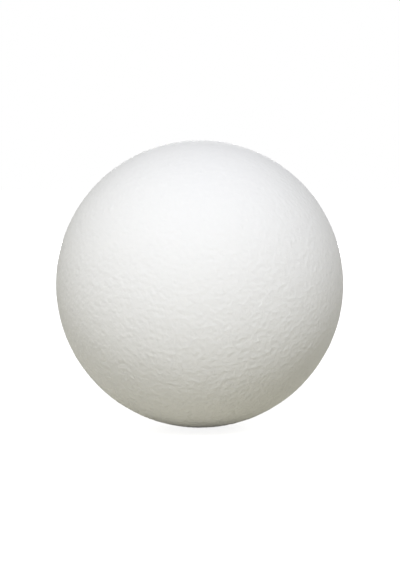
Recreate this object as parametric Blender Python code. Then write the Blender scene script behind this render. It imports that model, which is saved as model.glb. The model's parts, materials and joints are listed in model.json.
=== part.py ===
# A solid ball of moulded expanded polystyrene, as sold for craft work.
# Its beads are steamed together in a closed round mould, so the real thing is one piece:
# it has no core, no separate skin and nothing that moves.
# Sizes are in metres, +Z is up, and the origin is the centre of the ball.

import bpy
import bmesh

# The one driving dimension: a stock size of craft ball
BALL_DIAMETER = 0.100

# How closely the facets follow the round mould. The count around is a multiple of 4, so that
# the ball is its full width on X and on Y, and its lowest point is straight below its centre.
FACETS_AROUND = 96
FACETS_POLE_TO_POLE = FACETS_AROUND // 2

# Raw foam: a white just short of pure, dry and very slightly waxy. Light goes a few
# millimetres into the beads, a little further for red than for blue, before it comes out.
FOAM_COLOUR = (0.92, 0.92, 0.905, 1.0)
FOAM_ROUGHNESS = 0.6
FOAM_SPECULAR = 0.35
FOAM_SUBSURFACE = 0.3
FOAM_SCATTER_DEPTH = 0.004
FOAM_SCATTER_SHARES = (1.0, 0.95, 0.85)


def clear_scene():
    for obj in list(bpy.data.objects):
        bpy.data.objects.remove(obj)


def foam_material():
    material = bpy.data.materials.new("foam")
    material.use_nodes = True
    shader = material.node_tree.nodes["Principled BSDF"]
    shader.inputs["Base Color"].default_value = FOAM_COLOUR
    shader.inputs["Metallic"].default_value = 0.0
    shader.inputs["Roughness"].default_value = FOAM_ROUGHNESS
    shader.inputs["Specular IOR Level"].default_value = FOAM_SPECULAR
    shader.inputs["Subsurface Weight"].default_value = FOAM_SUBSURFACE
    shader.inputs["Subsurface Radius"].default_value = FOAM_SCATTER_SHARES
    shader.inputs["Subsurface Scale"].default_value = FOAM_SCATTER_DEPTH
    material.diffuse_color = FOAM_COLOUR
    return material


def moulded_ball(material):
    # The whole ball: one closed round surface with nothing cut from it or added to it
    mesh = bpy.data.meshes.new("ball")
    shape = bmesh.new()
    bmesh.ops.create_uvsphere(
        shape,
        u_segments=FACETS_AROUND,
        v_segments=FACETS_POLE_TO_POLE,
        radius=BALL_DIAMETER / 2,
    )
    shape.to_mesh(mesh)
    shape.free()
    mesh.shade_smooth()
    mesh.materials.append(material)
    return bpy.data.objects.new("ball", mesh)


def main():
    clear_scene()
    collection = bpy.data.collections.new("polystyrene_ball")
    bpy.context.scene.collection.children.link(collection)
    collection.objects.link(moulded_ball(foam_material()))


main()
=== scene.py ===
import json
import math

import bpy
import numpy as np
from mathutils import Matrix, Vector


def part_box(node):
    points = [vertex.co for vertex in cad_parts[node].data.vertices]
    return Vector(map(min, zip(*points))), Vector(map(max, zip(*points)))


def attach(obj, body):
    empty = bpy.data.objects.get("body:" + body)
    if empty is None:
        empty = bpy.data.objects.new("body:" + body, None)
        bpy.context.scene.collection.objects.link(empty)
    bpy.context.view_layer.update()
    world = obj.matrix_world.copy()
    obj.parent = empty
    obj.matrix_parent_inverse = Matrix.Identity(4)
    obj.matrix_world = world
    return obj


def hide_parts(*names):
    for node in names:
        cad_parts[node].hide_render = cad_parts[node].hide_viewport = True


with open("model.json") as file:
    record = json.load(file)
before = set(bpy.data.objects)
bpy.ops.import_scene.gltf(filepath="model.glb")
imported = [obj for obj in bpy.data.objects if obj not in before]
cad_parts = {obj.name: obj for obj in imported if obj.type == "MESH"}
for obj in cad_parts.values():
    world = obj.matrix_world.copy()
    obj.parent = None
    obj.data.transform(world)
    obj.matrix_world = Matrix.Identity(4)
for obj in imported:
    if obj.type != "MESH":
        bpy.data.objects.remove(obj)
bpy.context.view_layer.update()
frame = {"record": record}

# The solid gives the size and the place of everything below
ballLow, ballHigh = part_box("ball")
ballCentre = (ballLow + ballHigh) / 2
ballRadius = (ballHigh.x - ballLow.x) / 2
foamSlot = next(m for m in frame["record"]["materials"] if m["slot"] == "foam")
print("frame loaded: ball of radius", round(ballRadius * 1000, 2), "mm")


# Fused beads: the surface of the ball

beadSkin = {
    "gridPerSide": 128,         # squares along each side of the six patches
    "beadSpacing": 0.0021,      # from one bead's middle to the next
    "beadScatter": 0.28,        # how far a middle strays from even spacing, in spacings
    "borderWander": 0.20,       # how far the borders between beads wander, in spacings
    "wanderLength": 0.0030,     # and over what length they do so
    "shoulderWidth": 0.65,      # how wide a bead's rounded shoulder is, in spacings
    "domeHeight": 0.00009,      # how far a bead's middle stands above its border
    "stepHeight": 0.000004,     # how far neighbouring beads differ in height
    "wrinkleLength": 0.0034,    # long shallow wrinkles that run across several beads
    "wrinkleHeight": 0.000006,
    "swellLength": 0.016,       # slow unevenness of the whole moulding
    "swellHeight": 0.000012,
    "wavesPerNoise": 90,        # plane waves summed for each noise
    "lengthSpread": 0.2,        # how far a wave's length strays from the noise's own, as a share of it
    "reach": 3,                 # how far off a bead's middle is looked for, in spacings
    "heightBands": 96,          # bands that the ball is cut into for that search
    "seed": 41,
}


def patchedSphere(perSide):
    # Unit directions on six square patches that meet along their edges. On each patch both
    # coordinates are the tangent of an evenly spaced angle from -45 to 45 degrees, and the point
    # (tangent one, tangent two, 1) is brought to length one.
    angles = np.linspace(-math.pi / 4, math.pi / 4, perSide + 1)
    across, up = np.meshgrid(np.tan(angles), np.tan(angles), indexing="ij")
    flat = np.stack([across, up, np.ones_like(across)], axis=-1)
    flat /= np.linalg.norm(flat, axis=-1, keepdims=True)
    column, row = np.meshgrid(np.arange(perSide), np.arange(perSide), indexing="ij")
    corner = column * (perSide + 1) + row
    square = np.stack([corner, corner + perSide + 1, corner + perSide + 2, corner + 1], axis=-1)
    square = square.reshape(-1, 4)

    points, faces = [], []
    for turn in ((0, 1, 2), (1, 2, 0), (2, 0, 1)):
        for side in (1, -1):
            # The opposite patch is the same one mirrored through the centre, with its squares reversed
            patch = flat.reshape(-1, 3)[:, turn] * side
            faces.append((square if side == 1 else square[:, ::-1]) + len(points) * len(patch))
            points.append(patch)
    points = np.concatenate(points)
    faces = np.concatenate(faces)

    # Points that two or three patches share become one
    _, first, same = np.unique(np.round(points, 7), axis=0, return_index=True, return_inverse=True)
    return points[first], same.reshape(-1)[faces]


def waveNoise(points, length, skin, random):
    # Even noise with one main length: the sum of plane waves of about that length, each in a random
    # direction and from a random start, divided by the square root of half their number
    waves = skin["wavesPerNoise"]
    direction = random.normal(size=(3, waves))
    direction /= np.linalg.norm(direction, axis=0)
    phase = random.uniform(0, 2 * math.pi, waves)
    spread = random.uniform(1 - skin["lengthSpread"], 1 + skin["lengthSpread"], waves)
    angle = points @ (direction * 2 * math.pi / (length * spread)) + phase
    return np.cos(angle).sum(axis=1) / math.sqrt(waves / 2)


def beadMiddles(spacing, scatter, random):
    # Bead middles on the unit sphere: a spiral that turns by the golden angle for each bead and
    # steps evenly in height, with each point then moved at random and brought back to the surface
    count = round(4 * math.pi / (spacing ** 2 * math.sqrt(3) / 2))
    step = np.arange(count) + 0.5
    height = 1 - 2 * step / count
    turn = step * math.pi * (3 - math.sqrt(5))
    ring = np.sqrt(1 - height ** 2)
    middles = np.stack([ring * np.cos(turn), ring * np.sin(turn), height], axis=-1)
    middles += random.normal(size=middles.shape) * spacing * scatter
    return middles / np.linalg.norm(middles, axis=1, keepdims=True)


def nearestBeads(directions, middles, reach, bands):
    # Distances to the nearest and second nearest middle, and the number of the nearest. The points
    # are taken in bands of height, and each band is compared only with the middles within reach.
    middleOrder = np.argsort(middles[:, 2])
    sortedMiddles = middles[middleOrder]
    nearest = np.empty(len(directions), np.int64)
    distance = np.empty((len(directions), 2))
    for band in np.array_split(np.argsort(directions[:, 2]), bands):
        heights = directions[band, 2]
        first = np.searchsorted(sortedMiddles[:, 2], heights.min() - reach)
        last = np.searchsorted(sortedMiddles[:, 2], heights.max() + reach)
        apart = 2 - 2 * directions[band] @ sortedMiddles[first:last].T
        two = np.argpartition(apart, 1, axis=1)[:, :2]
        distance[band] = np.sqrt(np.maximum(np.take_along_axis(apart, two, axis=1), 0))
        nearest[band] = middleOrder[first + two[:, 0]]
    return distance[:, 0], distance[:, 1], nearest


def beadRelief(directions, radius, skin):
    # Height of the surface in metres, and how close each point is to a border between beads.
    # Border distance is the second nearest middle's distance less the nearest one's, in spacings.
    # A bead rises from its border as 1 less a bell curve of that distance, and bead steps,
    # wrinkles and slow swells are added. The highest point lies on the solid, and the rest inside it.
    random = np.random.default_rng(skin["seed"])
    points = directions * radius
    spacing = skin["beadSpacing"] / radius

    wander = [waveNoise(points, skin["wanderLength"], skin, random) for _ in range(3)]
    warped = directions + np.stack(wander, axis=-1) * spacing * skin["borderWander"] / math.sqrt(3)
    warped /= np.linalg.norm(warped, axis=1, keepdims=True)

    middles = beadMiddles(spacing, skin["beadScatter"], random)
    own, other, bead = nearestBeads(warped, middles, skin["reach"] * spacing, skin["heightBands"])
    border = (other - own) / spacing
    seam = np.exp(-((border / skin["shoulderWidth"]) ** 2))

    beadHeight = random.normal(size=len(middles))[bead]
    wrinkle = waveNoise(points, skin["wrinkleLength"], skin, random)
    swell = waveNoise(points, skin["swellLength"], skin, random)
    height = (
        -skin["domeHeight"] * seam
        + skin["stepHeight"] * beadHeight * (1 - seam)
        + skin["wrinkleHeight"] * wrinkle
        + skin["swellHeight"] * swell
    )
    tone = random.uniform(0, 1, len(middles))[bead]
    return height - height.max(), seam, tone, len(middles)


def meshFromArrays(name, points, quads):
    # A smooth mesh whose faces all have four corners
    mesh = bpy.data.meshes.new(name)
    mesh.vertices.add(len(points))
    mesh.vertices.foreach_set("co", points.astype(np.float32).ravel())
    mesh.loops.add(quads.size)
    mesh.loops.foreach_set("vertex_index", quads.astype(np.int32).ravel())
    mesh.polygons.add(len(quads))
    mesh.polygons.foreach_set("loop_start", np.arange(0, quads.size, 4, dtype=np.int32))
    mesh.update(calc_edges=True)
    mesh.validate()
    mesh.shade_smooth()
    return mesh


def addPointValue(mesh, name, values):
    attribute = mesh.attributes.new(name, "FLOAT", "POINT")
    attribute.data.foreach_set("value", values.astype(np.float32))


def mouldedBall(skin):
    directions, quads = patchedSphere(skin["gridPerSide"])
    height, seam, tone, beads = beadRelief(directions, ballRadius, skin)
    points = np.array(ballCentre) + directions * (ballRadius + height)[:, None]
    mesh = meshFromArrays("mouldedBall", points, quads)
    addPointValue(mesh, "beadSeam", seam)
    addPointValue(mesh, "beadTone", tone)
    ball = bpy.data.objects.new("mouldedBall", mesh)
    bpy.context.scene.collection.objects.link(ball)
    print("ball made:", beads, "beads,", 2 * len(quads), "triangles, relief to",
          round(-height.min() * 1000, 3), "mm deep")
    return ball


# Raw foam: the finish of the ball

foamFinish = {
    "colour": tuple(foamSlot["base_color"]) + (1.0,),
    # Painted shade: the seams between beads are coloured darker, standing in for the shade in their
    # grooves
    "paintedSeamShadeColour": (0.89, 0.89, 0.87, 1.0),
    "toneSpread": 0.003,        # how much lighter or darker one bead is than the next
    "paintedSeamShadeShare": 0.35,          # how far the colour goes towards the seam colour at a border, as painted shade in the grooves between beads
    "roughness": 0.68,
    "roughnessSpread": 0.08,
    "specular": 0.10,
    "creaseSize": 0.0016,       # creases in the skin, where beads were pressed together
    "creaseHeight": 0.00022,    # their height on the lower half of the ball
    "topLevels": (-0.1, 0.3),   # between these levels they fade, in radii above the ball's middle,
    "topShare": 0.85,           # to this share of that height, because the upper half is smoother
    "footLevels": (-0.5, -1.0),     # and between these they grow, down to the very foot,
    "footShare": 2.7,           # to this many times that height
    "deepSide": (-0.66, -0.37, -0.66),      # they grow towards one lower side of the ball too,
    "sideLevels": (0.86, 1.0),  # between these distances from the middle towards it, in radii,
    "sideShare": 2.5,           # to this many times their height
    "cellSize": 0.00022,        # gas cells that show through the skin
    "cellHeight": 0.0000025,
}

straightUp = (0, 0, 1)

skinGrain = {
    "creaseDetail": 0.8,        # how much of the next finer noise there is in the creases
    "creaseRoughness": 0.5,     # and how strong it is
    "creaseBend": 0.2,          # how far the creases curl
    "cellSoftness": 0.4,        # how rounded the gas cells are where they meet
}


def link(tree, source, target):
    tree.links.new(source, target)


def skinGrainGroup(look):
    # Heights and a tone that change over the skin: creases from distorted noise, and gas cells from
    # the distance to the nearest of many scattered points
    group = bpy.data.node_groups.new("skinGrain", "ShaderNodeTree")
    group.interface.new_socket("Place", in_out="INPUT", socket_type="NodeSocketVector")
    for name in ("Crease Size", "Cell Size", "Crease Height", "Cell Height"):
        group.interface.new_socket(name, in_out="INPUT", socket_type="NodeSocketFloat")
    for name in ("Height", "Grain"):
        group.interface.new_socket(name, in_out="OUTPUT", socket_type="NodeSocketFloat")
    given = group.nodes.new("NodeGroupInput")
    result = group.nodes.new("NodeGroupOutput")

    def perMetre(sizeName):
        one = group.nodes.new("ShaderNodeMath")
        one.operation = "DIVIDE"
        one.inputs[0].default_value = 1.0
        link(group, given.outputs[sizeName], one.inputs[1])
        return one.outputs[0]

    def times(first, second):
        product = group.nodes.new("ShaderNodeMath")
        product.operation = "MULTIPLY"
        link(group, first, product.inputs[0])
        link(group, second, product.inputs[1])
        return product.outputs[0]

    creases = group.nodes.new("ShaderNodeTexNoise")
    creases.inputs["Detail"].default_value = look["creaseDetail"]
    creases.inputs["Roughness"].default_value = look["creaseRoughness"]
    creases.inputs["Distortion"].default_value = look["creaseBend"]
    link(group, given.outputs["Place"], creases.inputs["Vector"])
    link(group, perMetre("Crease Size"), creases.inputs["Scale"])

    cells = group.nodes.new("ShaderNodeTexVoronoi")
    cells.feature = "SMOOTH_F1"
    cells.inputs["Smoothness"].default_value = look["cellSoftness"]
    link(group, given.outputs["Place"], cells.inputs["Vector"])
    link(group, perMetre("Cell Size"), cells.inputs["Scale"])

    total = group.nodes.new("ShaderNodeMath")
    total.operation = "SUBTRACT"
    link(group, times(creases.outputs["Fac"], given.outputs["Crease Height"]), total.inputs[0])
    link(group, times(cells.outputs["Distance"], given.outputs["Cell Height"]), total.inputs[1])
    link(group, total.outputs[0], result.inputs["Height"])
    link(group, creases.outputs["Fac"], result.inputs["Grain"])
    return group


def foamMaterial(finish):
    material = bpy.data.materials.new("rawFoam")
    material.use_nodes = True
    tree = material.node_tree
    shader = tree.nodes["Principled BSDF"]
    shader.inputs["Metallic"].default_value = 0.0
    shader.inputs["Specular IOR Level"].default_value = finish["specular"]

    place = tree.nodes.new("ShaderNodeTexCoord")
    grain = tree.nodes.new("ShaderNodeGroup")
    grain.node_tree = skinGrainGroup(skinGrain)
    grain.inputs["Crease Size"].default_value = finish["creaseSize"]
    grain.inputs["Cell Size"].default_value = finish["cellSize"]
    grain.inputs["Cell Height"].default_value = finish["cellHeight"]
    link(tree, place.outputs["Object"], grain.inputs["Place"])

    def byLevel(direction, levels, first, last):
        # The first value at the first level in a direction from the ball's middle, the last value at
        # the second level, and a straight line between them
        level = tree.nodes.new("ShaderNodeVectorMath")
        level.operation = "DOT_PRODUCT"
        level.inputs[1].default_value = Vector(direction).normalized()
        link(tree, place.outputs["Object"], level.inputs[0])
        change = tree.nodes.new("ShaderNodeMapRange")
        change.inputs["From Min"].default_value = levels[0] * ballRadius
        change.inputs["From Max"].default_value = levels[1] * ballRadius
        change.inputs["To Min"].default_value = first
        change.inputs["To Max"].default_value = last
        link(tree, level.outputs["Value"], change.inputs["Value"])
        return change.outputs["Result"]

    # Crease height: the value for the upper or lower half, times its growth towards the foot, times
    # its growth towards the deep side
    lowerHeight = finish["creaseHeight"]
    upperHeight = lowerHeight * finish["topShare"]
    creaseHeight = byLevel(straightUp, finish["topLevels"], lowerHeight, upperHeight)
    for direction, levels, share in (
        (straightUp, finish["footLevels"], finish["footShare"]),
        (finish["deepSide"], finish["sideLevels"], finish["sideShare"]),
    ):
        growth = tree.nodes.new("ShaderNodeMath")
        growth.operation = "MULTIPLY"
        link(tree, creaseHeight, growth.inputs[0])
        link(tree, byLevel(direction, levels, 1.0, share), growth.inputs[1])
        creaseHeight = growth.outputs[0]
    link(tree, creaseHeight, grain.inputs["Crease Height"])

    bump = tree.nodes.new("ShaderNodeBump")
    bump.inputs["Distance"].default_value = 1.0     # the heights are in metres already
    link(tree, grain.outputs["Height"], bump.inputs["Height"])
    link(tree, bump.outputs["Normal"], shader.inputs["Normal"])

    seam = tree.nodes.new("ShaderNodeAttribute")
    seam.attribute_name = "beadSeam"
    tone = tree.nodes.new("ShaderNodeAttribute")
    tone.attribute_name = "beadTone"

    toneShade = tree.nodes.new("ShaderNodeMapRange")
    toneShade.inputs["To Min"].default_value = 1 - finish["toneSpread"]
    toneShade.inputs["To Max"].default_value = 1 + finish["toneSpread"]
    link(tree, tone.outputs["Fac"], toneShade.inputs["Value"])

    # Painted shade: near each border between beads the colour goes towards the darker seam colour
    paintedShadeShare = tree.nodes.new("ShaderNodeMath")
    paintedShadeShare.operation = "MULTIPLY"
    paintedShadeShare.inputs[1].default_value = finish["paintedSeamShadeShare"]
    link(tree, seam.outputs["Fac"], paintedShadeShare.inputs[0])

    paintedShadeMix = tree.nodes.new("ShaderNodeMix")
    paintedShadeMix.data_type = "RGBA"
    paintedShadeMix.inputs["A"].default_value = finish["colour"]
    paintedShadeMix.inputs["B"].default_value = finish["paintedSeamShadeColour"]
    link(tree, paintedShadeShare.outputs[0], paintedShadeMix.inputs["Factor"])

    colour = tree.nodes.new("ShaderNodeVectorMath")
    colour.operation = "SCALE"
    link(tree, paintedShadeMix.outputs["Result"], colour.inputs[0])
    link(tree, toneShade.outputs["Result"], colour.inputs["Scale"])
    link(tree, colour.outputs["Vector"], shader.inputs["Base Color"])

    roughness = tree.nodes.new("ShaderNodeMapRange")
    roughness.inputs["To Min"].default_value = finish["roughness"] - finish["roughnessSpread"]
    roughness.inputs["To Max"].default_value = finish["roughness"] + finish["roughnessSpread"]
    link(tree, grain.outputs["Grain"], roughness.inputs["Value"])
    link(tree, roughness.outputs["Result"], shader.inputs["Roughness"])
    return material


ball = mouldedBall(beadSkin)
ball.data.materials.append(foamMaterial(foamFinish))
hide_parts("ball")
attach(ball, "root")
print("foam finish made")


# Floor and background: plain white to the camera, and a pale floor under the ball

setting = {
    "floorWidth": 6.0,
    "floorColour": (0.52, 0.50, 0.405, 1.0),    # what the floor throws back onto the ball
    "shadeColour": (0.50, 0.50, 0.50, 1.0),     # what the camera sees of it, so that shadows are grey
    "shownNear": 0.86,          # the part of the floor's white that the ball's shadow can't darken
    "shownFar": 1.0,            # and the same well away from the ball, where all of it is white
    "nearReach": 0.10,          # how far from the ball's middle the floor starts to turn fully white
    "farReach": 0.25,           # and where it is fully white
    "skyColour": (1.0, 1.0, 1.0, 1.0),
    "skyStrength": 0.10,
    "shownWhite": (1.0, 1.0, 1.0, 1.0),
}


def seenDirectly(tree):
    # 1 for what the camera sees, also by gloss or through glass, and 0 for light on the ball
    path = tree.nodes.new("ShaderNodeLightPath")
    highest = path.outputs["Is Camera Ray"]
    for name in ("Is Glossy Ray", "Is Transmission Ray"):
        larger = tree.nodes.new("ShaderNodeMath")
        larger.operation = "MAXIMUM"
        link(tree, highest, larger.inputs[0])
        link(tree, path.outputs[name], larger.inputs[1])
        highest = larger.outputs[0]
    return highest


def floorMaterial(look):
    material = bpy.data.materials.new("paleFloor")
    material.use_nodes = True
    tree = material.node_tree
    tree.nodes.clear()
    seen = seenDirectly(tree)
    paintColour = tree.nodes.new("ShaderNodeMix")
    paintColour.data_type = "RGBA"
    paintColour.inputs["A"].default_value = look["floorColour"]
    paintColour.inputs["B"].default_value = look["shadeColour"]
    link(tree, seen, paintColour.inputs["Factor"])
    paint = tree.nodes.new("ShaderNodeBsdfDiffuse")
    link(tree, paintColour.outputs["Result"], paint.inputs["Color"])
    shown = tree.nodes.new("ShaderNodeEmission")
    shown.inputs["Color"].default_value = look["shownWhite"]

    # The floor's own coordinates start at the ball's middle, so their length is the distance from it
    place = tree.nodes.new("ShaderNodeTexCoord")
    away = tree.nodes.new("ShaderNodeVectorMath")
    away.operation = "LENGTH"
    link(tree, place.outputs["Object"], away.inputs[0])
    whiteness = tree.nodes.new("ShaderNodeMapRange")
    whiteness.interpolation_type = "SMOOTHSTEP"
    whiteness.inputs["From Min"].default_value = look["nearReach"]
    whiteness.inputs["From Max"].default_value = look["farReach"]
    whiteness.inputs["To Min"].default_value = look["shownNear"]
    whiteness.inputs["To Max"].default_value = look["shownFar"]
    link(tree, away.outputs["Value"], whiteness.inputs["Value"])
    strength = tree.nodes.new("ShaderNodeMath")
    strength.operation = "MULTIPLY"
    link(tree, seen, strength.inputs[0])
    link(tree, whiteness.outputs["Result"], strength.inputs[1])
    link(tree, strength.outputs[0], shown.inputs["Strength"])
    both = tree.nodes.new("ShaderNodeAddShader")
    link(tree, paint.outputs[0], both.inputs[0])
    link(tree, shown.outputs[0], both.inputs[1])
    output = tree.nodes.new("ShaderNodeOutputMaterial")
    link(tree, both.outputs[0], output.inputs["Surface"])
    return material


def paleFloor(look):
    half = look["floorWidth"] / 2
    level = ballLow.z
    corners = np.array([
        [-half, -half, level],
        [half, -half, level],
        [half, half, level],
        [-half, half, level],
    ])
    mesh = meshFromArrays("paleFloor", corners, np.array([[0, 1, 2, 3]]))
    floor = bpy.data.objects.new("paleFloor", mesh)
    bpy.context.scene.collection.objects.link(floor)
    floor.data.materials.append(floorMaterial(look))


def whiteWorld(look):
    world = bpy.data.worlds.new("whiteWorld")
    bpy.context.scene.world = world
    world.use_nodes = True
    tree = world.node_tree
    tree.nodes.clear()
    sky = tree.nodes.new("ShaderNodeBackground")
    sky.inputs["Color"].default_value = look["skyColour"]
    sky.inputs["Strength"].default_value = look["skyStrength"]
    shown = tree.nodes.new("ShaderNodeBackground")
    shown.inputs["Color"].default_value = look["shownWhite"]
    either = tree.nodes.new("ShaderNodeMixShader")
    link(tree, seenDirectly(tree), either.inputs["Fac"])
    link(tree, sky.outputs[0], either.inputs[1])
    link(tree, shown.outputs[0], either.inputs[2])
    output = tree.nodes.new("ShaderNodeOutputWorld")
    link(tree, either.outputs[0], output.inputs["Surface"])


paleFloor(setting)
whiteWorld(setting)


# Lamps: square soft boxes around the ball, all at one distance from its middle. Turn is to the right
# of the camera's side, as the camera sees it, and rise is above the horizon, both in degrees.

lampDistance = 1.1
lamps = {
    "keyBox": {"turn": 4, "rise": 46, "width": 0.4, "watts": 7.95, "colour": (1.0, 1.01, 1.06)},
    "lowBox": {"turn": -25, "rise": 10, "width": 0.2, "watts": 2.42, "colour": (1.0, 1.01, 1.06)},
    "leftBox": {"turn": -105, "rise": 20, "width": 0.5, "watts": 1.5, "colour": (1.0, 0.98, 0.88)},
    "rightBox": {"turn": 105, "rise": 25, "width": 0.5, "watts": 1.75, "colour": (1.0, 1.0, 1.03)},
    "backBox": {"turn": 180, "rise": 8, "width": 0.3, "watts": 5.5, "colour": (1.0, 1.0, 1.0)},
}


def towards(turn, rise):
    # Unit direction from the ball: turned about the vertical from the camera's side (-Y), then raised
    turn, rise = math.radians(turn), math.radians(rise)
    return Vector((math.sin(turn) * math.cos(rise), -math.cos(turn) * math.cos(rise), math.sin(rise)))


def softBox(name, lamp):
    light = bpy.data.lights.new(name, "AREA")
    light.shape = "SQUARE"
    light.size = lamp["width"]
    light.energy = lamp["watts"]
    light.color = lamp["colour"]
    box = bpy.data.objects.new(name, light)
    direction = towards(lamp["turn"], lamp["rise"])
    box.location = ballCentre + direction * lampDistance
    box.rotation_euler = (-direction).to_track_quat("-Z", "Y").to_euler()
    bpy.context.scene.collection.objects.link(box)


for lampName, lamp in lamps.items():
    softBox(lampName, lamp)
print("floor, background and", len(lamps), "lamps made")


# Camera: a long lens, placed so that the ball is as large and as far off the middle as in the photograph

view = {
    "lens": 100.0,
    "longSide": 36.0,           # the sensor's side along the picture's longer side, in millimetres
    "rise": 5.0,                # degrees above the horizon
    "pictureWidth": 400,
    "pictureHeight": 570,
    "ballPixelRadius": 144.0,
    "ballPixelX": 199.67,
    "ballPixelY": 283.97,
}


def photoCamera(look):
    # A ball's outline is where lines of sight touch it: its distance is its radius over the sine of
    # the angle whose tangent is the pixel radius over the lens length in pixels
    camera = bpy.data.cameras.new("photoCamera")
    camera.lens = look["lens"]
    camera.sensor_width = look["longSide"]
    lensPixels = look["lens"] / look["longSide"] * max(look["pictureWidth"], look["pictureHeight"])
    distance = ballRadius / math.sin(math.atan(look["ballPixelRadius"] / lensPixels))
    perPixel = distance / lensPixels
    back = towards(0, look["rise"])
    turned = (-back).to_track_quat("-Z", "Y")
    right = turned @ Vector((1, 0, 0))
    up = turned @ Vector((0, 1, 0))
    sideways = (look["pictureWidth"] / 2 - look["ballPixelX"]) * perPixel
    upwards = (look["ballPixelY"] - look["pictureHeight"] / 2) * perPixel
    holder = bpy.data.objects.new("photoCamera", camera)
    holder.location = ballCentre + back * distance + right * sideways + up * upwards
    holder.rotation_euler = turned.to_euler()
    bpy.context.scene.collection.objects.link(holder)
    bpy.context.scene.camera = holder
    print("camera made:", round(distance, 3), "m away")


photoCamera(view)
bpy.context.scene.view_settings.view_transform = "Standard"
